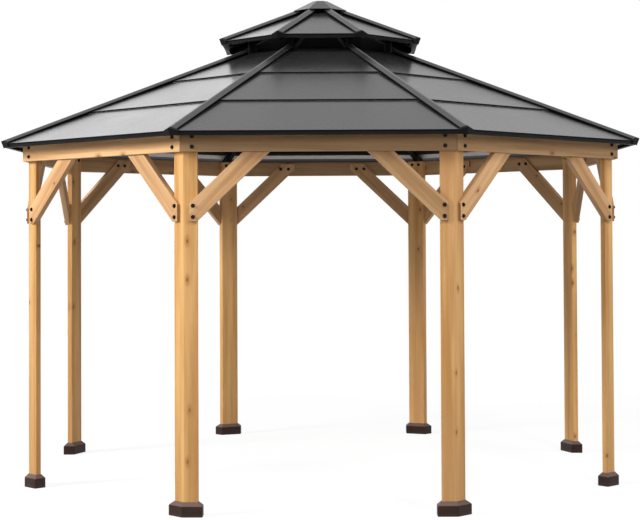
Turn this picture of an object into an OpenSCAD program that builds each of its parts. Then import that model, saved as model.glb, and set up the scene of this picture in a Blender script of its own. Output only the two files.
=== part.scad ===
/* [Timber frame] */
// Half of the distance across flats, measured to the outer faces of the posts
frame_apothem = 2000; // [1800:10:2400]
// Width of each of the two outer faces of a post
post_face_w = 88; // [70:1:130]
// Depth of the two side faces of a post
post_side_w = 38; // [30:1:70]
// Height of the lower edge of the ring beams above the ground
beam_bottom_z = 2222; // [1900:2:2600]
// Height of a ring beam
beam_h = 118; // [90:1:180]
// Thickness of a ring beam
beam_t = 38; // [28:1:60]
// Open mitre joint between two ring beams
beam_mitre_gap = 2; // [1:0.5:6]

/* [Knee braces] */
// Width of a brace board, square to its length
brace_w = 112; // [80:1:140]
// Thickness of a brace board
brace_t = 38; // [24:2:60]
// Height of the lower end of a brace below the lower edge of the beam
brace_drop = 425; // [300:1:520]
// Slope of a brace in degrees
brace_angle = 43.5; // [40:0.5:50]
// Length of the level cut under the lower end of a brace
brace_toe_w = 48; // [24:1:70]
// How far the lower end of a brace reaches over the face of its post
brace_post_lap = 52; // [35:1:65]
// How far the upper end of a brace stays below the top of the beam
brace_top_drop = 15; // [4:1:40]

/* [Post base covers] */
// How far a base cover stands out from the faces of its post
cover_out = 28; // [15:1:45]
// Height of the upright wall of a base cover
cover_wall_h = 66; // [30:1:90]
// Height of a base cover with its sloping top
cover_h = 91; // [60:1:130]

/* [Lower roof] */
// Overhang of the eave beyond the outer faces of the posts, measured to the face of the eave trim
eave_overhang = 155; // [120:1:240]
// Height of the roof frame above the tops of the posts, at the outer faces of the posts
roof_stand = 47; // [38:1:70]
// Slope of both roofs in degrees
roof_angle = 23.1; // [17:0.1:29]
// Apothem of the opening that the vent leaves in the lower roof
vent_r = 525; // [480:5:600]
// Distance of the outer face of an eave purlin inside the outer faces of the posts
eave_purlin_in = 80; // [75:1:180]

/* [Upper roof] */
// Overhang of the upper eave beyond the opening of the vent
upper_overhang = 181; // [150:1:240]
// Height of the upper eave above the lower roof frame
upper_eave_up = 162; // [145:1:260]
// Apothem of the apex cap at its lower edge
apex_r = 194; // [170:1:240]
// Apothem of the flat top of the apex cap
apex_top_r = 54; // [40:1:70]
// Height of the apex cap
apex_h = 77; // [60:1:110]
// Height of the corners of the apex cap over the upper hip caps that run in under them
apex_clear = 4.5; // [4:0.5:20]
// How far the upper hip caps run in under the corners of the apex cap
apex_cap_lap = 45; // [0:1:60]

/* [Roof metalwork] */
// Thickness of a roof panel at its folded edge
panel_t = 10; // [6:0.5:16]
// How far a panel runs in under the next course
panel_lap = 30; // [20:1:50]
// Gap between the panels of two sectors along a hip
panel_hip_gap = 6; // [5:1:12]
// Height of the eave trim
trim_h = 17; // [12:1:40]
// Depth of the flanges of the eave trim
trim_flange = 26; // [16:1:40]
// Sheet thickness of the eave trim
trim_t = 3; // [2:0.5:5]
// Width of a hip cap
hip_cap_w = 72; // [60:1:90]
// Height of the down-turned lips of a hip cap
hip_cap_lip = 10; // [6:0.5:16]
// Height of the ridge of a hip cap over its lips
hip_cap_rise = 20; // [12:1:30]
// Thickness of the web that carries a hip cap between the panels
hip_web_t = 2; // [1:0.5:4]
// Sheet thickness of a hip cap
hip_cap_t = 3; // [2:0.5:5]
// Length of each leg of a hip end cap along the eave
end_cap_w = 55; // [44:1:70]
// Sheet thickness of a hip end cap and of the apex cap
end_cap_t = 4; // [2:0.5:6]

/* [Roof frame] */
// Width of a hip rafter
rafter_w = 40; // [38:1:60]
// Depth of a hip rafter
rafter_h = 50; // [40:1:70]
// Depth that is left at the tail of a hip rafter, over its level cut
rafter_tail_h = 10; // [4:1:18]
// Width of a purlin
purlin_w = 40; // [30:1:60]
// Depth of a purlin
purlin_h = 35; // [25:1:60]
// Thickness of the steel plate of a rafter seat
seat_t = 6; // [4:0.5:10]
// Height of the cheeks of a rafter seat
seat_cheek_h = 30; // [16:1:34]
// Width of an upright in the vent
upright_w = 36; // [24:1:38]
// Width of a rafter of the upper roof
upper_rafter_w = 30; // [24:1:40]
// Depth of a rafter of the upper roof
upper_rafter_h = 34; // [24:1:44]
// Apothem of the hub in which the upper rafters meet
hub_r = 60; // [50:1:80]

/* [Hidden] */
// Number of sides of the plan
sides = 8;
turn = 360 / sides;
half = turn / 2;
// Number of panel courses on the lower roof
courses = 3;
// Running clearance between a piece and its seat
fit = 0.3;
// Size that is larger than the whole object
far = 4 * frame_apothem;

SPOTS = ["front", "front_right", "right", "back_right", "back", "back_left", "left", "front_left"];
CORNERS = ["front_right", "right_front", "right_back", "back_right",
           "back_left", "left_back", "left_front", "front_left"];

wood = [0.78, 0.56, 0.33];
roof_grey = [0.30, 0.30, 0.31];
trim_grey = [0.20, 0.20, 0.21];
frame_black = [0.10, 0.10, 0.11];
cover_brown = [0.20, 0.15, 0.13];

// Timber frame: corner radius, top of the posts and the depth of a post along its radius
frame_corner = frame_apothem / cos(half);
frame_top_z = beam_bottom_z + beam_h;
post_depth = post_face_w * sin(half) + post_side_w * cos(half);
half_bay = frame_apothem * tan(half);

// Roof slopes along a sector and along a hip, and vertical measures of sloping pieces
roof_rise = tan(roof_angle);
hip_rise = roof_rise * cos(half);
hip_angle = atan(hip_rise);
panel_v = panel_t / cos(roof_angle);
hip_fall = roof_rise * sin(half);
eave_r = frame_apothem + eave_overhang;
course_run = (eave_r - vent_r) / courses;
lower_seam_r = eave_r - course_run;
upper_seam_r = lower_seam_r - course_run;
upper_eave_r = vent_r + upper_overhang;
panel_lift = (panel_v + fit) / (1 - panel_lap / (course_run - panel_lap));

// Height of the top of the roof frame: tier 0 is the lower roof and tier 1 the upper one
function tier_eave_r(tier) = tier == 0 ? eave_r : upper_eave_r;
function lower_plane_z(r) = frame_top_z + roof_stand + roof_rise * (frame_apothem - r);
upper_plane_up = upper_eave_up - panel_lift - fit;
function plane_z(tier, r) = lower_plane_z(r) + tier * upper_plane_up;
function hip_z(tier, r) = plane_z(tier, r * cos(half));
function corner(r) = r / cos(half);

// Each course is [apothem of its lower edge, apothem of its upper edge]
eave_course = [eave_r, lower_seam_r - panel_lap];
middle_course = [lower_seam_r, upper_seam_r - panel_lap];
top_course = [upper_seam_r, vent_r];
upper_course_end_r = apex_r - panel_lap;
upper_course = [upper_eave_r, upper_course_end_r];
function course_lift(course, r) =
    panel_lift * max(0, r - course[1] - panel_lap) / (course[0] - course[1] - panel_lap);
function under_z(tier, course, r) = plane_z(tier, r) + course_lift(course, r);

// Top and underside of a rafter above the radius r of its hip
function rafter_top_z(tier, w, r) = hip_z(tier, r) - hip_fall * w / 2 - fit;
function rafter_under_z(tier, w, h, r) = rafter_top_z(tier, w, r) - h / cos(hip_angle);
seat_top_z = frame_top_z + seat_t;

// Heights of a hip cap over the hip, with its lips on the folded lower edges of the panels
cap_lip_z = panel_lift + panel_v - hip_fall * hip_cap_w / 2 + fit;
cap_edge_z = cap_lip_z + hip_cap_lip;
cap_ridge_z = cap_edge_z + hip_cap_rise;
cap_slope = hip_cap_rise / (hip_cap_w / 2);

// Upper roof: apex cap on its hub, and uprights just inside the opening of the vent
upper_cap_r = corner(apex_r) - apex_cap_lap;
apex_bottom_z = hip_z(1, corner(apex_r)) + cap_ridge_z + apex_clear;
apex_top_z = apex_bottom_z + apex_h;
upright_r = (vent_r - fit - upright_w / 2 * sin(half)) / cos(half) - upright_w / 2;

// Places its children in each bay, with the outside of the bay towards -Y
module bay(i) rotate([0, 0, turn * i]) children();
module each_bay() for (i = [0 : sides - 1]) bay(i) children();

// Places its children at each corner, with the outside of the corner towards -Y
module at_corner(i) rotate([0, 0, half + turn * i]) children();
module each_corner() for (i = [0 : sides - 1]) at_corner(i) children();

// Bar with a section given as [distance from the centre, height], along X
module bar(section, length)
    rotate([90, 0, -90]) linear_extrude(length, center = true) polygon(section);

// Plan of one bay, cut back by a gap from the two hip lines beside it
module bay_wedge(gap) {
    start = gap / sin(half);
    spread = (far - start) * tan(half);
    linear_extrude(far) polygon([[0, -start], [spread, -far], [-spread, -far]]);
}

// Bar that ends a gap away from the two hip lines beside its bay
module bay_bar(section, gap)
    intersection() {
        bar(section, far);
        bay_wedge(gap);
    }

// Section given as [distance across the hip, height over the hip], drawn down a hip from the radius r
module down_hip(tier, r, section)
    translate([0, -r, hip_z(tier, r)]) rotate([90 + hip_angle, 0, 0]) linear_extrude(far)
        polygon([for (p = section) [p[0], p[1] * cos(hip_angle)]]);

// Everything inside the two eave lines with the apothem r that meet at a corner
module inside_eaves(r)
    linear_extrude(far) polygon([
        [0, -corner(r)], [far, far * tan(half) - corner(r)], [-far, far * tan(half) - corner(r)]]);

// Plan of a post with its outer corner at the origin
post_plan = let (
        right = post_face_w * [cos(half), sin(half)],
        inner = right + post_side_w * [-sin(half), cos(half)])
    [[0, 0], right, inner, [-inner[0], inner[1]], [-right[0], right[1]]];

// The faces of a post as [direction, distance from its outer corner]
post_faces = [
    [half - 90, 0], [-half - 90, 0],
    [half, post_face_w], [180 - half, post_face_w], [90, post_depth]];

module post(i)
    color(wood) at_corner(i) translate([0, -frame_corner, 0])
        linear_extrude(frame_top_z) polygon(post_plan);

// Ring beam against the outer faces of two posts, mitred at both ends
module beam(i)
    color(wood) bay(i) bay_bar([
        [frame_apothem, beam_bottom_z], [frame_apothem + beam_t, beam_bottom_z],
        [frame_apothem + beam_t, frame_top_z], [frame_apothem, frame_top_z]], beam_mitre_gap / 2);

// Outline of the right brace of a bay as [distance from the bay's middle, height]
brace_toe_u = half_bay - post_face_w + brace_post_lap;
brace_top_z = frame_top_z - brace_top_drop;
brace_bottom_z = beam_bottom_z - brace_drop;
brace_heel_h = brace_w / cos(brace_angle) - brace_toe_w * tan(brace_angle);
brace_rise = brace_top_z - brace_bottom_z;
brace_head_u = brace_toe_u - brace_toe_w - (brace_rise - brace_toe_w) / tan(brace_angle);
brace_outline = [
    [brace_toe_u, brace_bottom_z],
    [brace_toe_u, brace_bottom_z + brace_heel_h],
    [brace_toe_u - (brace_rise - brace_heel_h) / tan(brace_angle), brace_top_z],
    [brace_head_u, brace_top_z],
    [brace_head_u, brace_top_z - brace_toe_w],
    [brace_toe_u - brace_toe_w, brace_bottom_z]];

// Brace halved over the face of the post at its foot and behind the beam at its head
module brace() {
    post_edge_u = half_bay - post_face_w;
    difference() {
        translate([0, -frame_apothem, 0]) rotate([90, 0, 0])
            linear_extrude(brace_t, center = true) polygon(brace_outline);
        translate([-far / 2, -frame_apothem - far, beam_bottom_z]) cube([far, far, far]);
        translate([post_edge_u - fit, -frame_apothem - fit, 0]) cube([far, far, far]);
    }
}

module braces(i)
    color(wood) bay(i) {
        brace();
        mirror([1, 0, 0]) brace();
    }

// Half space under the sloping top of a base cover, beyond one face of the post
module cover_side(direction, distance)
    rotate([0, 0, direction]) rotate([90, 0, 0]) linear_extrude(far, center = true) polygon([
        [-far, 0], [distance + cover_out, 0], [distance + cover_out, cover_wall_h],
        [distance + fit, cover_h], [-far, cover_h]]);

module post_base_covers()
    color(cover_brown) each_corner() translate([0, -frame_corner, 0]) difference() {
        intersection_for (face = post_faces) cover_side(face[0], face[1]);
        intersection_for (face = post_faces)
            rotate([0, 0, face[0]]) translate([face[1] + fit - far, -far, -far])
                cube([far, 2 * far, 2 * far]);
    }

// Steel seat on the top of each post, with cheeks beside the rafter
module rafter_seats()
    color(frame_black) each_corner() translate([0, -frame_corner, 0]) {
        cheek_x = rafter_w / 2 + fit;
        translate([0, 0, frame_top_z]) linear_extrude(seat_t) polygon(post_plan);
        for (side = [-1, 1])
            translate([side * (cheek_x + seat_t / 2) - seat_t / 2, post_side_w, seat_top_z - fit])
                cube([seat_t, post_depth - post_side_w, seat_cheek_h + fit]);
    }

// Hip rafter with a level cut over its seat
module hip_rafters()
    color(frame_black) each_corner() {
        inner_r = upright_r - upright_w;
        inner_under_z = rafter_under_z(0, rafter_w, rafter_h, inner_r);
        inner_top_z = rafter_top_z(0, rafter_w, inner_r);
        seat_cut_r = inner_r + (inner_under_z - seat_top_z) / hip_rise;
        tail_top_z = seat_top_z + rafter_tail_h;
        tail_r = inner_r + (inner_top_z - tail_top_z) / hip_rise;
        bar([
            [inner_r, inner_under_z], [inner_r, inner_top_z], [tail_r, tail_top_z],
            [tail_r, seat_top_z], [seat_cut_r, seat_top_z]], rafter_w);
    }

// Level bar under the panels from apothem r inwards by one purlin's width, between two rafters
module purlin(course, r)
    bay_bar([
        [r, under_z(0, course, r) - fit], [r, under_z(0, course, r) - purlin_h],
        [r - purlin_w, under_z(0, course, r - purlin_w) - purlin_h],
        [r - purlin_w, under_z(0, course, r - purlin_w) - fit]], rafter_w / 2 + fit);

module eave_purlins()
    color(frame_black) each_bay() purlin(eave_course, frame_apothem - eave_purlin_in);

module lower_purlins()
    color(frame_black) each_bay() purlin(eave_course, lower_seam_r);

module upper_purlins()
    color(frame_black) each_bay() purlin(middle_course, upper_seam_r);

module vent_ring()
    color(frame_black) each_bay() purlin(top_course, vent_r + purlin_w);

// Panel that lies on the frame at its upper edge and on the course below it at its lower edge
module panel(tier, course) {
    low = course[0];
    high = course[1];
    seat = high + panel_lap;
    bay_bar([
        [low, under_z(tier, course, low)], [low, under_z(tier, course, low) + panel_v],
        [high, plane_z(tier, high) + panel_v], [high, plane_z(tier, high)],
        [seat, plane_z(tier, seat)]], panel_hip_gap / 2);
}

module eave_course_panels()
    color(roof_grey) each_bay() panel(0, eave_course);

module middle_course_panels()
    color(roof_grey) each_bay() panel(0, middle_course);

module top_course_panels()
    color(roof_grey) each_bay() panel(0, top_course);

module upper_roof_panels()
    color(roof_grey) each_bay() panel(1, upper_course);

// Folded channel under the lower edge of the panels
module trim(tier, course) {
    outer = tier_eave_r(tier);
    inner = outer - trim_flange;
    wall = outer - trim_t;
    top = under_z(tier, course, outer) - fit;
    inner_top = under_z(tier, course, inner) - fit;
    wall_top = under_z(tier, course, wall) - fit;
    bay_bar([
        [outer, top - trim_h], [outer, top], [inner, inner_top], [inner, inner_top - trim_t],
        [wall, wall_top - trim_t], [wall, top - trim_h + trim_t],
        [inner, top - trim_h + trim_t], [inner, top - trim_h]], fit);
}

module eave_trim()
    color(trim_grey) each_bay() trim(0, eave_course);

module upper_eave_trim()
    color(trim_grey) each_bay() trim(1, upper_course);

// Folded ridge that covers a hip from the radius high down to the eave, on a web between the panels
module hip_cap(tier, high) {
    edge = hip_cap_w / 2;
    lip = edge - hip_cap_t;
    web = hip_web_t / 2;
    lip_top_z = cap_ridge_z - hip_cap_t - lip * cap_slope;
    web_top_z = cap_ridge_z - hip_cap_t - web * cap_slope;
    intersection() {
        down_hip(tier, high, [
            [0, cap_ridge_z], [edge, cap_edge_z], [edge, cap_lip_z], [lip, cap_lip_z], [lip, lip_top_z],
            [web, web_top_z], [web, panel_lift], [-web, panel_lift], [-web, web_top_z],
            [-lip, lip_top_z], [-lip, cap_lip_z], [-edge, cap_lip_z], [-edge, cap_edge_z]]);
        inside_eaves(tier_eave_r(tier));
    }
    // The web goes down to the hip between the panels, but not over the eave trim
    intersection() {
        down_hip(tier, high, [[web, 0], [web, panel_lift], [-web, panel_lift], [-web, 0]]);
        inside_eaves(tier_eave_r(tier) - trim_flange - fit);
    }
}

module hip_caps()
    color(trim_grey) each_corner() hip_cap(0, corner(vent_r));

module upper_hip_caps()
    color(trim_grey) each_corner() hip_cap(1, upper_cap_r);

// Moulded end of a hip cap that leans out square to the slope and closes the joint of the eave trim
module hip_end_cap(tier) {
    back = tier_eave_r(tier) + fit;
    course = tier == 0 ? eave_course : upper_course;
    bottom_z = under_z(tier, course, tier_eave_r(tier)) - trim_h - end_cap_t;
    reach_x = end_cap_w * cos(half);
    reach_y = end_cap_w * sin(half) - end_cap_t;
    side_z = cap_ridge_z - reach_x * cap_slope;
    drop = 2 * (cap_ridge_z + trim_h);
    difference() {
        intersection() {
            down_hip(tier, corner(back) - end_cap_w, [
                [0, cap_ridge_z], [reach_x, side_z], [reach_x, -drop], [-reach_x, -drop],
                [-reach_x, side_z]]);
            translate([0, -corner(back), bottom_z]) rotate([hip_angle, 0, 0]) linear_extrude(drop)
                polygon([
                    [0, -end_cap_t], [reach_x, reach_y], [reach_x, end_cap_w],
                    [-reach_x, end_cap_w], [-reach_x, reach_y]]);
        }
        inside_eaves(back);
    }
}

module hip_end_caps()
    color(trim_grey) each_corner() hip_end_cap(0);

module upper_hip_end_caps()
    color(trim_grey) each_corner() hip_end_cap(1);

// Short steel post between a hip rafter and the upper rafter over it
module vent_uprights()
    color(frame_black) each_corner() {
        near = upright_r - upright_w / 2;
        away = upright_r + upright_w / 2;
        bar([
            [near, rafter_top_z(0, rafter_w, near)], [away, rafter_top_z(0, rafter_w, away)],
            [away, rafter_under_z(1, upper_rafter_w, upper_rafter_h, away) - fit],
            [near, rafter_under_z(1, upper_rafter_w, upper_rafter_h, near) - fit]], upright_w);
    }

module upper_rafters()
    color(frame_black) each_corner() {
        tail_r = corner(upper_eave_r - 2 * trim_flange);
        bar([
            [hub_r, rafter_under_z(1, upper_rafter_w, upper_rafter_h, hub_r)],
            [hub_r, rafter_top_z(1, upper_rafter_w, hub_r)],
            [tail_r, rafter_top_z(1, upper_rafter_w, tail_r)],
            [tail_r, rafter_under_z(1, upper_rafter_w, upper_rafter_h, tail_r)]], upper_rafter_w);
    }

// Eight sided prism with the apothem r and a flat towards each bay
module octagon(r, h) rotate([0, 0, half]) cylinder(h = h, r = corner(r), $fn = sides);

// Hub between the upper rafters, with a stem that carries the apex cap
module apex_hub()
    color(frame_black) {
        hub_bottom_z = rafter_under_z(1, upper_rafter_w, upper_rafter_h, hub_r);
        translate([0, 0, hub_bottom_z]) rotate([0, 0, half])
            octagon(hub_r, rafter_top_z(1, upper_rafter_w, hub_r) - hub_bottom_z);
        translate([0, 0, hub_bottom_z])
            octagon(apex_top_r - 3 * end_cap_t, apex_top_z - end_cap_t - fit - hub_bottom_z);
    }

// Sloping side of the apex cap over one bay, as a half space
module apex_side(inset)
    bar([
        [-far, apex_bottom_z], [apex_r - inset, apex_bottom_z],
        [apex_top_r - inset, apex_top_z], [-far, apex_top_z]], far);

module apex_cap()
    color(trim_grey) difference() {
        intersection_for (i = [0 : sides - 1]) bay(i) apex_side(0);
        translate([0, 0, -end_cap_t]) intersection_for (i = [0 : sides - 1]) bay(i) apex_side(0);
    }

for (i = [0 : sides - 1]) {
    post(i);
    beam(i);
    braces(i);
}
post_base_covers();
rafter_seats();
hip_rafters();
eave_purlins();
lower_purlins();
upper_purlins();
vent_ring();
eave_course_panels();
middle_course_panels();
top_course_panels();
eave_trim();
hip_caps();
hip_end_caps();
vent_uprights();
upper_rafters();
apex_hub();
upper_roof_panels();
upper_eave_trim();
upper_hip_caps();
upper_hip_end_caps();
apex_cap();
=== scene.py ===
import math

import bpy
from mathutils import Matrix, Vector


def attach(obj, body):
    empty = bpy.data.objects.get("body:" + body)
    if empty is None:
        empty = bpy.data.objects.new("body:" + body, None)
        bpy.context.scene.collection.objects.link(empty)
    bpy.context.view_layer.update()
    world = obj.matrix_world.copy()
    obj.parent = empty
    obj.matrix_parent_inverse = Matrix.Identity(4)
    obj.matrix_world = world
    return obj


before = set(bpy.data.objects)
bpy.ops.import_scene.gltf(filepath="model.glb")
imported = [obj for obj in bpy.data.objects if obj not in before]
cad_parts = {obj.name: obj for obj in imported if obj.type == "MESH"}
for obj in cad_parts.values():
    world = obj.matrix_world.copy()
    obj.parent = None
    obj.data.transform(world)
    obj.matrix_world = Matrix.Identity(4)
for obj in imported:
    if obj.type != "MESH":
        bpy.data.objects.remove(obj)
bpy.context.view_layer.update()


# Posts: eight five-sided timbers of softwood in a honey stain, planed on all faces and
# eased along the arrises. Each stands at a corner of the octagon and carries the ring beams.
CORNERS = ["front_right", "right_front", "right_back", "back_right",
           "back_left", "left_back", "left_front", "front_left"]
TURN = math.radians(45)
FRAME_APOTHEM = 2.0
FRAME_CORNER = FRAME_APOTHEM / math.cos(TURN / 2)
ARRIS = 0.004
WELD_GAP = 1e-5
FOLD_ANGLE = math.radians(30)


class Sock:
    """A socket of a material's nodes, for use in sums and as the start of further nodes."""

    def __init__(self, tree, socket):
        self.tree = tree
        self.socket = socket

    def feed(self, target, values):
        for name, value in values.items():
            if isinstance(value, Sock):
                self.tree.links.new(value.socket, target.inputs[name])
            else:
                target.inputs[name].default_value = value

    def node(self, kind, settings, values, out=0):
        made = self.tree.nodes.new(kind)
        for name, value in settings.items():
            setattr(made, name, value)
        self.feed(made, values)
        return Sock(self.tree, made.outputs[out])

    def maths(self, operation, *others):
        return self.node("ShaderNodeMath", {"operation": operation}, dict(enumerate((self, *others))))

    def __add__(self, other):
        return self.maths("ADD", other)

    def __mul__(self, other):
        return self.maths("MULTIPLY", other)

    def __sub__(self, other):
        return self.maths("SUBTRACT", other)

    def __rsub__(self, other):
        return self.maths("MULTIPLY_ADD", -1.0, other)

    def __abs__(self):
        return self.maths("ABSOLUTE")

    def step(self, low, high):
        return self.node("ShaderNodeMapRange", {"interpolation_type": "SMOOTHSTEP"},
                         {"Value": self, "From Min": low, "From Max": high})

    def vector(self, operation, other):
        return self.node("ShaderNodeVectorMath", {"operation": operation}, {0: self, 1: other})

    def stretched(self, x, y, z):
        return self.vector("MULTIPLY", (x, y, z))

    def turned(self, angle):
        return self.node("ShaderNodeVectorRotate", {"rotation_type": "Z_AXIS"},
                         {"Vector": self, "Angle": angle})

    def length(self):
        return self.node("ShaderNodeVectorMath", {"operation": "LENGTH"}, {0: self}, "Value")

    def split(self):
        made = self.tree.nodes.new("ShaderNodeSeparateXYZ")
        self.feed(made, {0: self})
        return [Sock(self.tree, out) for out in made.outputs]

    def facing(self):
        return self.node("ShaderNodeNewGeometry", {}, {}, "True Normal")

    def noise(self, scale, detail=2.0, rough=0.5):
        return self.node("ShaderNodeTexNoise", {}, {
            "Vector": self, "Scale": scale, "Detail": detail, "Roughness": rough})

    def blend(self, one, other):
        return self.node("ShaderNodeMix", {"data_type": "RGBA"}, {0: self, 6: one, 7: other}, 2)

    def bump(self, strength, distance):
        return self.node("ShaderNodeBump", {}, {
            "Height": self, "Strength": strength, "Distance": distance})


def new_finish(name):
    """A material with one plain shader, and the place on the piece to draw it by."""
    material = bpy.data.materials.new(name)
    material.use_nodes = True
    tree = material.node_tree
    tree.nodes.clear()
    shader = tree.nodes.new("ShaderNodeBsdfPrincipled")
    tree.links.new(shader.outputs[0], tree.nodes.new("ShaderNodeOutputMaterial").inputs[0])
    place = Sock(tree, tree.nodes.new("ShaderNodeTexCoord").outputs["Object"])
    return material, shader, place


def rgb(red, green, blue):
    return (red, green, blue, 1.0)


POST_LIGHT, POST_DARK = (0.80, 0.470, 0.185), (0.54, 0.266, 0.086)
# Each post's tint is partly its own board tone and partly painted light: the rear posts are painted
# lighter and the front ones darker.
POST_TONE_AND_LIGHT = [0.94, 0.94, 1.12, 1.14, 1.08, 1.14, 0.85, 0.95]
POST_SEED = 1
RUDDY = (0.62, 0.34, 0.165)
HALO_BROWN = rgb(0.40, 0.18, 0.055)
KNOT_BROWN = rgb(0.17, 0.072, 0.022)
END_BROWN = rgb(0.20, 0.095, 0.035)
FOOT_BROWN = rgb(0.36, 0.185, 0.055)
FOOT_DARKENING_TOP = 1.9
SLANT = math.sqrt(0.5)
PAIR_ALONG, PAIR_ACROSS = 3.1, 0.4


def stained_timber(name, middle, turned, run, seed, light, dark, tints):
    """Softwood in a honey stain. The grain runs upright, level or slanting in the turned bay.

    The tints are those of the boards on the left and on the right of the middle. For posts and beams
    they also hold painted light and shade."""
    material, shader, place = new_finish(name)
    x, y, z = place.vector("SUBTRACT", middle).turned(-turned).split()
    normal = place.facing().turned(-turned).split()
    if run == "upright":
        along, across, ends = z, x, abs(normal[2])
    elif run == "level":
        along, across, ends = x, z, abs(normal[0])
    else:
        # The two boards of a pair lean towards each other and are cut from different timber
        side = x.maths("SIGN")
        along = (z - abs(x)) * SLANT + side * PAIR_ALONG
        across = (z + abs(x)) * SLANT + side * PAIR_ACROSS
        ends = abs(normal[2] - normal[0] * side) * SLANT
    grain = place.node("ShaderNodeCombineXYZ", {}, {"X": across, "Y": y, "Z": along})
    grain = grain.vector("ADD", (seed * 1.7, seed * 0.9, seed * 5.3))
    # Knots are few and small, and the growth rings bend round them
    face = place.node("ShaderNodeCombineXYZ", {}, {
        "X": across * 8.0 + y * 5.0 + seed * 3.7, "Y": along * 4.4 + seed * 11.3})
    flat = {"voronoi_dimensions": "2D"}
    cells = {"Vector": face, "Scale": 1.0, "Randomness": 1.0}
    near = face.node("ShaderNodeTexVoronoi", flat, cells, "Distance")
    chosen = face.node("ShaderNodeTexVoronoi", flat, cells, "Color").split()[0].step(0.70, 0.74)
    knot = (1.0 - near.step(0.03, 0.075)) * chosen
    halo = (1.0 - near.step(0.05, 0.24)) * chosen
    # The stretches give the streaks per metre across, into and along the board
    sway = grain.stretched(9.0, 9.0, 1.1).noise(1.0, 2.0)
    streak = grain.stretched(34.0, 34.0, 1.3).noise(1.0, 3.0)
    fibre = grain.stretched(330.0, 330.0, 7.0).noise(1.0, 3.0, 0.6)
    patch = grain.stretched(4.0, 4.0, 0.9).noise(1.0, 2.0)
    rings = across * 46.0 + y * 31.0 + sway * 5.5 + halo * 1.6 + seed
    rings = rings.maths("SINE") * 0.5 + 0.5
    tone = rings * 0.34 + streak * 1.10 + fibre * 0.40 - 0.42
    board = x.step(-0.001, 0.001)
    light, dark, ruddy = [
        board.blend(*[rgb(*[part * tint for part in shade]) for tint in tints])
        for shade in (light, dark, RUDDY)]
    honey = tone.step(0.12, 0.88).blend(light, dark)
    honey = (patch.step(0.48, 0.72) * 0.45).blend(honey, ruddy)
    honey = (halo * 0.45).blend(honey, HALO_BROWN)
    honey = (knot * 0.85).blend(honey, KNOT_BROWN)
    honey = (ends.step(0.5, 0.66) * 0.75).blend(honey, END_BROWN)
    # The wood is a little darker towards the ground
    near_foot = 1.0 - place.split()[2].step(0.0, FOOT_DARKENING_TOP)
    honey = (near_foot * 0.30).blend(honey, FOOT_BROWN)
    place.feed(shader, {
        "Base Color": honey,
        "Roughness": fibre * 0.22 + 0.46 + knot * 0.1,
        "Specular IOR Level": 0.35,
        "Normal": (fibre * 0.6 + rings * 0.4 + knot * 0.6).bump(0.35, 0.0012)})
    return material


def dress(node, material, edge, segments=2):
    """Gives a CAD node its finish, joins its sheet and eases its edges."""
    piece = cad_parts[node]
    for slot in piece.material_slots:
        slot.material = material
    weld = piece.modifiers.new("joined sheet", "WELD")
    weld.merge_threshold = WELD_GAP
    bevel = piece.modifiers.new("eased edges", "BEVEL")
    bevel.width = edge
    bevel.segments = segments
    bevel.limit_method = "ANGLE"
    bevel.angle_limit = FOLD_ANGLE
    bevel.harden_normals = True


for i, corner in enumerate(CORNERS):
    turned = TURN * (i + 0.5)
    foot = (FRAME_CORNER * math.sin(turned), -FRAME_CORNER * math.cos(turned), 0.0)
    timber = stained_timber("post_timber_" + corner, foot, turned, "upright", i + POST_SEED,
                            POST_LIGHT, POST_DARK, (POST_TONE_AND_LIGHT[i], POST_TONE_AND_LIGHT[i]))
    dress("post_" + corner, timber, ARRIS)


# Base covers: moulded shells in dark brown plastic, slid down round the foot of each post.
# They have upright walls, a sloping top and the fine grain of the mould. The sloping top is painted
# paler as a painted highlight.
COVER_EDGE, COVER_SEGMENTS = 0.005, 3
COVER_DARK, COVER_LIGHT = rgb(0.022, 0.010, 0.007), rgb(0.034, 0.018, 0.013)
COVER_TOP_HIGHLIGHT = rgb(0.165, 0.108, 0.096)
COVER_SPLASH = rgb(0.07, 0.050, 0.040)
SPLASH_H = 0.03
material, shader, place = new_finish("brown_moulded_plastic")
mould = place.noise(420.0, 2.0)
dust = place.noise(7.0, 4.0, 0.6)
# The faces to the sky are painted paler, which is a painted highlight.
top = place.facing().split()[2].step(0.3, 0.7)
splash = 1.0 - place.split()[2].step(0.0, SPLASH_H)
brown = dust.step(0.3, 0.75).blend(COVER_DARK, COVER_LIGHT)
brown = (top * (dust * 0.5 + 0.6)).blend(brown, COVER_TOP_HIGHLIGHT)
place.feed(shader, {
    "Base Color": (splash * 0.25).blend(brown, COVER_SPLASH),
    "Roughness": mould * 0.16 + 0.40 + dust * 0.15,
    "Specular IOR Level": 0.22,
    "Normal": mould.bump(0.25, 0.0006)})
dress("post_base_covers", material, COVER_EDGE, COVER_SEGMENTS)


# Ring beams: eight planed boards against the outer faces of the posts, mitred at the corners
# and bolted to the posts at both ends. The grain runs along the board.
BAYS = ["front", "front_right", "right", "back_right", "back", "back_left", "left", "front_left"]
BEAM_MIDDLE = (0.0, 0.0, 2.28)
BEAM_LIGHT, BEAM_DARK = (0.70, 0.44, 0.218), (0.44, 0.235, 0.100)
# Each beam's tint is partly its own board tone and partly painted light and shade: the front and back
# beams are painted darker as painted shade, the front-left one lighter as painted light.
BEAM_TONE_AND_SHADE = [0.60, 0.86, 0.95, 0.9, 0.70, 0.9, 1.0, 1.12]
BEAM_SEED = 11
for i, bay in enumerate(BAYS):
    timber = stained_timber("beam_timber_" + bay, BEAM_MIDDLE, TURN * i, "level", i + BEAM_SEED,
                            BEAM_LIGHT, BEAM_DARK, (BEAM_TONE_AND_SHADE[i], BEAM_TONE_AND_SHADE[i]))
    dress("beam_" + bay, timber, ARRIS)


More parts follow.
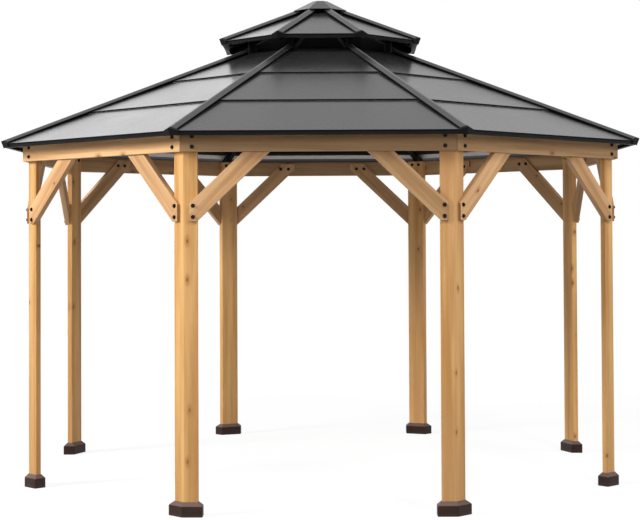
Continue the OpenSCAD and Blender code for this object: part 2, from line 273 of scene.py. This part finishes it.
# Knee braces: a pair of sloping boards in each bay, halved over the post at the foot and behind
# the beam at the head. The grain follows the slope of each board.
BRACE_MIDDLE = (0.0, 0.0, 2.0)
BRACE_LIGHT, BRACE_DARK = (0.76, 0.47, 0.236), (0.50, 0.262, 0.112)
BRACE_TINTS = [(0.90, 0.66), (1.0, 0.86), (0.9, 0.8), (0.9, 0.94),
               (0.96, 1.0), (0.9, 0.88), (0.9, 1.0), (0.96, 0.9)]
BRACE_SEED = 23
for i, bay in enumerate(BAYS):
    timber = stained_timber("brace_timber_" + bay, BRACE_MIDDLE, TURN * i, "slanting", i + BRACE_SEED,
                            BRACE_LIGHT, BRACE_DARK, BRACE_TINTS[i])
    dress("braces_" + bay, timber, ARRIS)


# Bolts of the timber frame: black flanged hexagon heads, two at each end of a beam, two at the
# foot and the head of each brace, and two on the inner face of each post under its rafter seat.
BOLT_SIZES = {"Flange Radius": 0.0130, "Flange Height": 0.003,
              "Head Radius": 0.0095, "Head Height": 0.006}
FLANGE_SIDES, HEAD_SIDES = 18, 6
TWIST_SEED = 4
BOLT_DARK, BOLT_RUBBED = rgb(0.004, 0.004, 0.004), rgb(0.016, 0.014, 0.013)
BEAM_FACE_R = 2.038
BEAM_BOLT_OFF, BEAM_BOLT_HEIGHTS = 0.771, (2.252, 2.315)
BRACE_FRONT_R = 2.019
BRACE_FOOT_OFF, BRACE_FOOT_HEIGHTS = 0.767, (1.824, 1.893)
BRACE_BACK_R = 1.981
BRACE_HEAD_OFFS, BRACE_HEAD_HEIGHT = (0.294, 0.360), 2.280
POST_FACE_W = 0.088
POST_SIDE_W = 0.038
POST_DEPTH = POST_FACE_W * math.sin(TURN / 2) + POST_SIDE_W * math.cos(TURN / 2)
POST_BACK_R = FRAME_CORNER - POST_DEPTH
POST_BOLT_OFF, POST_BOLT_HEIGHT = 0.029, 2.311


def bolt_tree(name, sizes, material):
    """Heads on points, each turned by chance about the direction that its point faces."""
    tree = bpy.data.node_groups.new(name, "GeometryNodeTree")
    tree.interface.new_socket("Geometry", in_out="INPUT", socket_type="NodeSocketGeometry")
    for label in sizes:
        tree.interface.new_socket(label, in_out="INPUT", socket_type="NodeSocketFloat")
    tree.interface.new_socket("Geometry", in_out="OUTPUT", socket_type="NodeSocketGeometry")
    start = tree.nodes.new("NodeGroupInput").outputs

    def add(kind, settings, values):
        made = tree.nodes.new(kind)
        for key, value in settings.items():
            setattr(made, key, value)
        for key, value in values.items():
            if isinstance(value, bpy.types.NodeSocket):
                tree.links.new(value, made.inputs[key])
            else:
                made.inputs[key].default_value = value
        return made

    def disc(sides, radius, height, base):
        body = add("GeometryNodeMeshCylinder", {"fill_type": "NGON"}, {
            "Vertices": sides, "Radius": radius, "Depth": height})
        middle = add("ShaderNodeMath", {"operation": "MULTIPLY_ADD"}, {0: height, 1: 0.5, 2: base})
        lift = add("ShaderNodeCombineXYZ", {}, {"Z": middle.outputs[0]})
        return add("GeometryNodeTransform", {}, {
            "Geometry": body.outputs["Mesh"], "Translation": lift.outputs[0]})

    flange = disc(FLANGE_SIDES, start["Flange Radius"], start["Flange Height"], 0.0)
    head = disc(HEAD_SIDES, start["Head Radius"], start["Head Height"], start["Flange Height"])
    both = add("GeometryNodeJoinGeometry", {}, {})
    for part in (flange, head):
        tree.links.new(part.outputs[0], both.inputs[0])
    facing = add("GeometryNodeInputNamedAttribute", {"data_type": "FLOAT_VECTOR"}, {"Name": "facing"})
    chance = add("FunctionNodeRandomValue", {"data_type": "FLOAT"}, {
        2: 0.0, 3: 2 * math.pi / HEAD_SIDES, "Seed": TWIST_SEED})
    twist = add("ShaderNodeCombineXYZ", {}, {"Z": chance.outputs[1]})
    aim = add("FunctionNodeAlignRotationToVector", {"axis": "Z"}, {"Vector": facing.outputs[0]})
    turned = add("FunctionNodeRotateRotation", {"rotation_space": "LOCAL"}, {
        "Rotation": aim.outputs[0], "Rotate By": twist.outputs[0]})
    heads = add("GeometryNodeInstanceOnPoints", {}, {
        "Points": start["Geometry"], "Instance": both.outputs[0], "Rotation": turned.outputs[0]})
    whole = add("GeometryNodeRealizeInstances", {}, {0: heads.outputs[0]})
    coated = add("GeometryNodeSetMaterial", {}, {"Geometry": whole.outputs[0], "Material": material})
    tree.links.new(coated.outputs[0], tree.nodes.new("NodeGroupOutput").inputs[0])
    return tree


def set_heads(name, points, sizes, material):
    """Puts a head on each (place, direction) and leaves one plain mesh."""
    mesh = bpy.data.meshes.new(name + "_points")
    mesh.from_pydata([spot for spot, _ in points], [], [])
    ways = mesh.attributes.new("facing", "FLOAT_VECTOR", "POINT")
    for item, (_, way) in zip(ways.data, points):
        item.vector = way
    carrier = bpy.data.objects.new(name + "_points", mesh)
    bpy.context.scene.collection.objects.link(carrier)
    tree = bolt_tree(name, sizes, material)
    modifier = carrier.modifiers.new("heads", "NODES")
    modifier.node_group = tree
    for item in tree.interface.items_tree:
        if item.in_out == "INPUT" and item.name in sizes:
            modifier[item.identifier] = sizes[item.name]
    ready = carrier.evaluated_get(bpy.context.evaluated_depsgraph_get())
    made = bpy.data.meshes.new_from_object(ready)
    made.name = name
    carrier.modifiers.remove(modifier)
    bpy.data.objects.remove(carrier)
    piece = bpy.data.objects.new(name, made)
    bpy.context.scene.collection.objects.link(piece)
    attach(piece, "root")


def bolt(turned, radius, off, height, way):
    """Place of a bolt beside the middle of a turned face, and its direction, out (1) or in (-1)."""
    out = Vector((math.sin(turned), -math.cos(turned), 0.0))
    along = Vector((math.cos(turned), math.sin(turned), 0.0))
    return out * radius + along * off + Vector((0.0, 0.0, height)), out * way


material, shader, place = new_finish("black_bolt_steel")
rub_and_highlight = place.noise(260.0, 3.0)
place.feed(shader, {
    "Base Color": rub_and_highlight.step(0.55, 0.8).blend(BOLT_DARK, BOLT_RUBBED),
    "Roughness": rub_and_highlight * 0.25 + 0.42,
    "Specular IOR Level": 0.25,
    "Normal": rub_and_highlight.bump(0.2, 0.0004)})
spots = []
for i in range(len(BAYS)):
    bay, post = TURN * i, TURN * (i + 0.5)
    for side in (-1, 1):
        for height in BEAM_BOLT_HEIGHTS:
            spots.append(bolt(bay, BEAM_FACE_R, side * BEAM_BOLT_OFF, height, 1))
        for height in BRACE_FOOT_HEIGHTS:
            spots.append(bolt(bay, BRACE_FRONT_R, side * BRACE_FOOT_OFF, height, 1))
        for off in BRACE_HEAD_OFFS:
            spots.append(bolt(bay, BRACE_BACK_R, side * off, BRACE_HEAD_HEIGHT, -1))
    for side in (-1, 1):
        spots.append(bolt(post, POST_BACK_R, side * POST_BOLT_OFF, POST_BOLT_HEIGHT, -1))
set_heads("frame_bolts", spots, BOLT_SIZES, material)


# Rafter seats: bent steel plates in a black coat on the tops of the posts. Two cheeks on each
# hold the rafter, and bolts through the head of the post hold the seat.
SEAT_EDGE = 0.0012
SEAT_DARK, SEAT_LIGHT = rgb(0.012, 0.012, 0.013), rgb(0.030, 0.030, 0.031)
material, shader, place = new_finish("black_seat_steel")
dull = place.noise(14.0, 4.0, 0.6)
peel = place.noise(520.0, 2.0)
place.feed(shader, {
    "Base Color": dull.step(0.35, 0.75).blend(SEAT_DARK, SEAT_LIGHT),
    "Roughness": dull * 0.2 + 0.36,
    "Normal": (dull + peel).bump(0.15, 0.0005)})
dress("rafter_seats", material, SEAT_EDGE)


# Roof frame: hip rafters, purlins, the ring and uprights of the vent, and the upper rafters with
# their hub. They are steel tubes in a matt black powder coat, bolted together under the panels.
TUBE_EDGE = 0.003
TUBE_DARK, TUBE_LIGHT = rgb(0.004, 0.004, 0.004), rgb(0.009, 0.009, 0.009)
material, shader, place = new_finish("matt_black_powder_coat")
peel = place.noise(700.0, 2.0)
film = place.noise(5.0, 4.0, 0.6)
place.feed(shader, {
    "Base Color": film.step(0.35, 0.75).blend(TUBE_DARK, TUBE_LIGHT),
    "Roughness": peel * 0.15 + 0.48 + film * 0.1,
    "Specular IOR Level": 0.08,
    "Normal": peel.bump(0.2, 0.0004)})
for node in ("hip_rafters", "eave_purlins", "lower_purlins", "upper_purlins", "vent_ring",
             "vent_uprights", "upper_rafters", "apex_hub"):
    dress(node, material, TUBE_EDGE)


# Roof panels: sheets of steel in a charcoal powder coat with folded lower edges, lapped in three
# courses on the lower roof and one on the upper. Folds and lips are painted matt and near black as
# painted shade. The back of the lower sheets is pale grey, and that of the upper ones is painted
# matt black as painted shade.
PANEL_EDGE, PANEL_SEGMENTS = 0.002, 3
PANEL_DARK, PANEL_LIGHT = rgb(0.021, 0.020, 0.021), rgb(0.030, 0.029, 0.030)
SHADED_FOLD_DARK, SHADED_FOLD_LIGHT = rgb(0.003, 0.003, 0.003), rgb(0.006, 0.006, 0.006)
BACK_PALE = rgb(0.84, 0.80, 0.79)
HEM_AND_SHADE_R, RETURN_BLUR = 2.06, 0.001
RIDGE_HIGHLIGHT = rgb(0.20, 0.20, 0.205)
HIGHLIGHT_W = 0.009
HIGHLIGHT_START, HIGHLIGHT_FULL = 0.19, 0.23


def roof_coat(name, dark, light, shaded_back, rub_and_highlight=0.0, gloss=0.36):
    """Satin charcoal on the faces to the sky, and matt black on upright folds, which is painted
    shade.

    A shaded back is matt black, which is painted shade. A back that is not shaded is pale, and the
    coat goes round the eave a short way onto it, partly as the coat round the hem and partly as
    painted shade under the eave.
    The line along a hip can be painted paler as a painted highlight, outside the apex."""
    material, shader, place = new_finish(name)
    x, y = place.split()[:2]
    radius = place.stretched(1.0, 1.0, 0.0).length()
    off_hip = abs((x.maths("ARCTAN2", 0.0 - y) * (1.0 / TURN)).maths("FRACT") - 0.5) * TURN
    peel = place.noise(620.0, 2.0)
    film = place.noise(2.6, 5.0, 0.6)
    mottle = film.step(0.3, 0.75)
    relief = (peel + film * 2.0).bump(0.07, 0.0006)
    rise = place.facing().split()[2]
    under = 1.0 - rise.step(-0.45, -0.25)
    # Upright folds and lips are painted near black and matt, which is painted shade.
    matt = 1.0 - abs(rise).step(0.25, 0.60)
    grey = mottle.blend(dark, light)
    # A shaded back is painted matt black as well, which is painted shade.
    if shaded_back:
        matt = matt.maths("MAXIMUM", under)
    else:
        # The charcoal coat runs onto the back at the eave, partly as the coat round the hem and
        # partly as painted shade under the eave.
        apothem = radius * (off_hip - TURN / 2).maths("COSINE")
        pale = under * (1.0 - apothem.step(HEM_AND_SHADE_R - RETURN_BLUR, HEM_AND_SHADE_R))
        grey = pale.blend(grey, BACK_PALE)
    # The pale line along the hip is a painted highlight.
    if rub_and_highlight:
        hip_gap = radius * off_hip.maths("SINE")
        ridge = 1.0 - hip_gap.step(HIGHLIGHT_W / 2, HIGHLIGHT_W)
        ridge = ridge * (film * 0.8 + 0.3) * radius.step(HIGHLIGHT_START, HIGHLIGHT_FULL)
        grey = (ridge * rub_and_highlight).blend(grey, RIDGE_HIGHLIGHT)
    place.feed(shader, {
        "Base Color": grey,
        "Roughness": peel * 0.08 + film * 0.10 + 0.18 + under * 0.2,
        "Specular IOR Level": gloss,
        "Normal": relief})
    shaded_fold = place.tree.nodes.new("ShaderNodeBsdfPrincipled")
    place.feed(shaded_fold, {
        "Base Color": mottle.blend(SHADED_FOLD_DARK, SHADED_FOLD_LIGHT),
        "Roughness": peel * 0.1 + 0.55,
        "Specular IOR Level": 0.03,
        "Normal": relief})
    output = shader.outputs[0].links[0].to_node
    both = matt.node("ShaderNodeMixShader", {}, {
        0: matt, 1: Sock(place.tree, shader.outputs[0]), 2: Sock(place.tree, shaded_fold.outputs[0])})
    place.feed(output, {"Surface": both})
    return material


lower_coat = roof_coat("charcoal_panel_coat", PANEL_DARK, PANEL_LIGHT, False)
for node in ("eave_course_panels", "middle_course_panels", "top_course_panels"):
    dress(node, lower_coat, PANEL_EDGE, PANEL_SEGMENTS)
upper_coat = roof_coat("charcoal_upper_coat", PANEL_DARK, PANEL_LIGHT, True)
dress("upper_roof_panels", upper_coat, PANEL_EDGE, PANEL_SEGMENTS)


# Roof trim: folded steel in charcoal. Channels under the eaves, ridged caps along the hips on the
# edges of the panels, moulded ends on the caps, and a pressed cap on the apex. The ridges of the
# caps are painted paler as a painted highlight, and the channels and ends are darker than the rest.
TRIM_EDGE = 0.0014
CAP_DARK, CAP_LIGHT = rgb(0.026, 0.026, 0.028), rgb(0.038, 0.038, 0.040)
CAP_HIGHLIGHT = 0.8
APEX_DARK, APEX_LIGHT = rgb(0.040, 0.040, 0.042), rgb(0.052, 0.052, 0.054)
APEX_GLOSS = 0.2
TRIM_DARK, TRIM_LIGHT = rgb(0.007, 0.007, 0.007), rgb(0.012, 0.011, 0.011)
# The caps' ridges carry a painted highlight, and their upright lips and undersides are painted matt
# black as painted shade.
cap_coat = roof_coat("charcoal_cap_coat", CAP_DARK, CAP_LIGHT, True, rub_and_highlight=CAP_HIGHLIGHT)
for node in ("hip_caps", "upper_hip_caps"):
    dress(node, cap_coat, TRIM_EDGE)
apex_coat = roof_coat("charcoal_apex_coat", APEX_DARK, APEX_LIGHT, True, gloss=APEX_GLOSS)
dress("apex_cap", apex_coat, TRIM_EDGE)
material, shader, place = new_finish("charcoal_trim_coat")
peel = place.noise(620.0, 2.0)
film = place.noise(4.0, 5.0, 0.6)
place.feed(shader, {
    "Base Color": film.step(0.3, 0.75).blend(TRIM_DARK, TRIM_LIGHT),
    "Roughness": peel * 0.10 + film * 0.14 + 0.32,
    "Specular IOR Level": 0.06,
    "Normal": (peel + film * 2.0).bump(0.12, 0.0006)})
for node in ("eave_trim", "hip_end_caps", "upper_eave_trim", "upper_hip_end_caps"):
    dress(node, material, TRIM_EDGE)


# Studio: a plain pale floor that runs out into white under a white sky. The main light is soft
# and comes from the upper left, with weaker lamps in front and on the right. One more stands
# behind on the left, and it is the only one that shows in the sheen of the roof.
FLOOR_REACH, FLOOR_Z = 400.0, -0.0005
FLOOR_GREY = rgb(0.38, 0.38, 0.38)
GLOW_SHARE = 0.5
FADE_START, FADE_END = 3.0, 14.0
GLOW_NEAR, GLOW_MORE = 1.72, 0.20
WHITE = rgb(1.0, 1.0, 1.0)
SKY_LIGHT, SKY_SEEN = 0.30, 1.0
LAMP_AIM = (0.0, 0.0, 1.4)
SHEEN_AIM = (-1.0, 0.0, 2.6)


def seen_rays(tree):
    """One on rays that end in the picture, straight, mirrored or through glass, and else zero."""
    path = tree.nodes.new("ShaderNodeLightPath").outputs
    seen = Sock(tree, path["Is Camera Ray"])
    for kind in ("Is Glossy Ray", "Is Transmission Ray"):
        seen = seen.maths("MAXIMUM", Sock(tree, path[kind]))
    return seen


mesh = bpy.data.meshes.new("floor")
mesh.from_pydata([(x * FLOOR_REACH, y * FLOOR_REACH, FLOOR_Z)
                  for x, y in ((-1, -1), (1, -1), (1, 1), (-1, 1))], [], [(0, 1, 2, 3)])
floor = bpy.data.objects.new("floor", mesh)
bpy.context.scene.collection.objects.link(floor)
material = bpy.data.materials.new("pale_floor")
material.use_nodes = True
tree = material.node_tree
tree.nodes.clear()
seen = seen_rays(tree)
away = seen.node("ShaderNodeTexCoord", {}, {}, "Object").length().step(FADE_START, FADE_END)
matt = seen.node("ShaderNodeBsdfDiffuse", {}, {"Color": FLOOR_GREY})
glow = seen.node("ShaderNodeEmission", {}, {
    "Color": WHITE, "Strength": away * GLOW_MORE + GLOW_NEAR})
both = seen.node("ShaderNodeMixShader", {}, {0: seen * GLOW_SHARE, 1: matt, 2: glow})
tree.links.new(both.socket, tree.nodes.new("ShaderNodeOutputMaterial").inputs[0])
mesh.materials.append(material)

world = bpy.data.worlds.new("studio")
bpy.context.scene.world = world
world.use_nodes = True
tree = world.node_tree
tree.nodes.clear()
seen = seen_rays(tree)
soft = seen.node("ShaderNodeBackground", {}, {"Color": WHITE, "Strength": SKY_LIGHT})
white = seen.node("ShaderNodeBackground", {}, {"Color": WHITE, "Strength": SKY_SEEN})
both = seen.node("ShaderNodeMixShader", {}, {0: seen, 1: soft, 2: white})
tree.links.new(both.socket, tree.nodes.new("ShaderNodeOutputWorld").inputs[0])


def soft_lamp(name, spot, aim, size, power, mirrored):
    lamp = bpy.data.lights.new(name, "AREA")
    lamp.shape = "DISK"
    lamp.size = size
    lamp.energy = power
    holder = bpy.data.objects.new(name, lamp)
    holder.location = spot
    holder.rotation_euler = (Vector(aim) - Vector(spot)).to_track_quat("-Z", "Y").to_euler()
    holder.visible_glossy = mirrored
    bpy.context.scene.collection.objects.link(holder)


soft_lamp("key", (-11.5, -5.4, 6.6), LAMP_AIM, size=4.5, power=1700, mirrored=False)
soft_lamp("front", (4.6, -9.7, 10.4), LAMP_AIM, size=3.0, power=600, mirrored=False)
soft_lamp("low_front", (-3.0, -24.5, 5.9), LAMP_AIM, size=5.0, power=860, mirrored=False)
soft_lamp("right", (12.6, -3.4, 4.9), LAMP_AIM, size=4.0, power=380, mirrored=False)
soft_lamp("sky_left", (-5.2, 13.4, 8.0), SHEEN_AIM, size=8.0, power=185, mirrored=True)


# Camera: in front of the gazebo and 1.7 m above the floor, with a long lens that looks almost
# level. The lens is shifted down, so that the posts stay upright in the picture.
CAMERA_SPOT = (0.0783, -11.5342, 1.71468)
HEADING, PITCH, ROLL = -0.0074, 0.0220, -0.00446
SENSOR_W = 36.0
IMAGE_W = 640.0
FOCAL_PX = 1562.18
SHIFT_PX = -60.0
forward = Vector((math.sin(HEADING) * math.cos(PITCH),
                  math.cos(HEADING) * math.cos(PITCH), math.sin(PITCH)))
right = forward.cross(Vector((0.0, 0.0, 1.0))).normalized()
up = right.cross(forward)
tilted_right = right * math.cos(ROLL) + up * math.sin(ROLL)
tilted_up = up * math.cos(ROLL) - right * math.sin(ROLL)
lens = bpy.data.cameras.new("camera")
lens.sensor_width = SENSOR_W
lens.lens = FOCAL_PX / IMAGE_W * SENSOR_W
lens.shift_y = SHIFT_PX / IMAGE_W
camera = bpy.data.objects.new("camera", lens)
turn = Matrix((tilted_right, tilted_up, -forward)).transposed().to_4x4()
camera.matrix_world = Matrix.Translation(CAMERA_SPOT) @ turn
bpy.context.scene.collection.objects.link(camera)
bpy.context.scene.camera = camera
bpy.context.scene.view_settings.view_transform = "Standard"
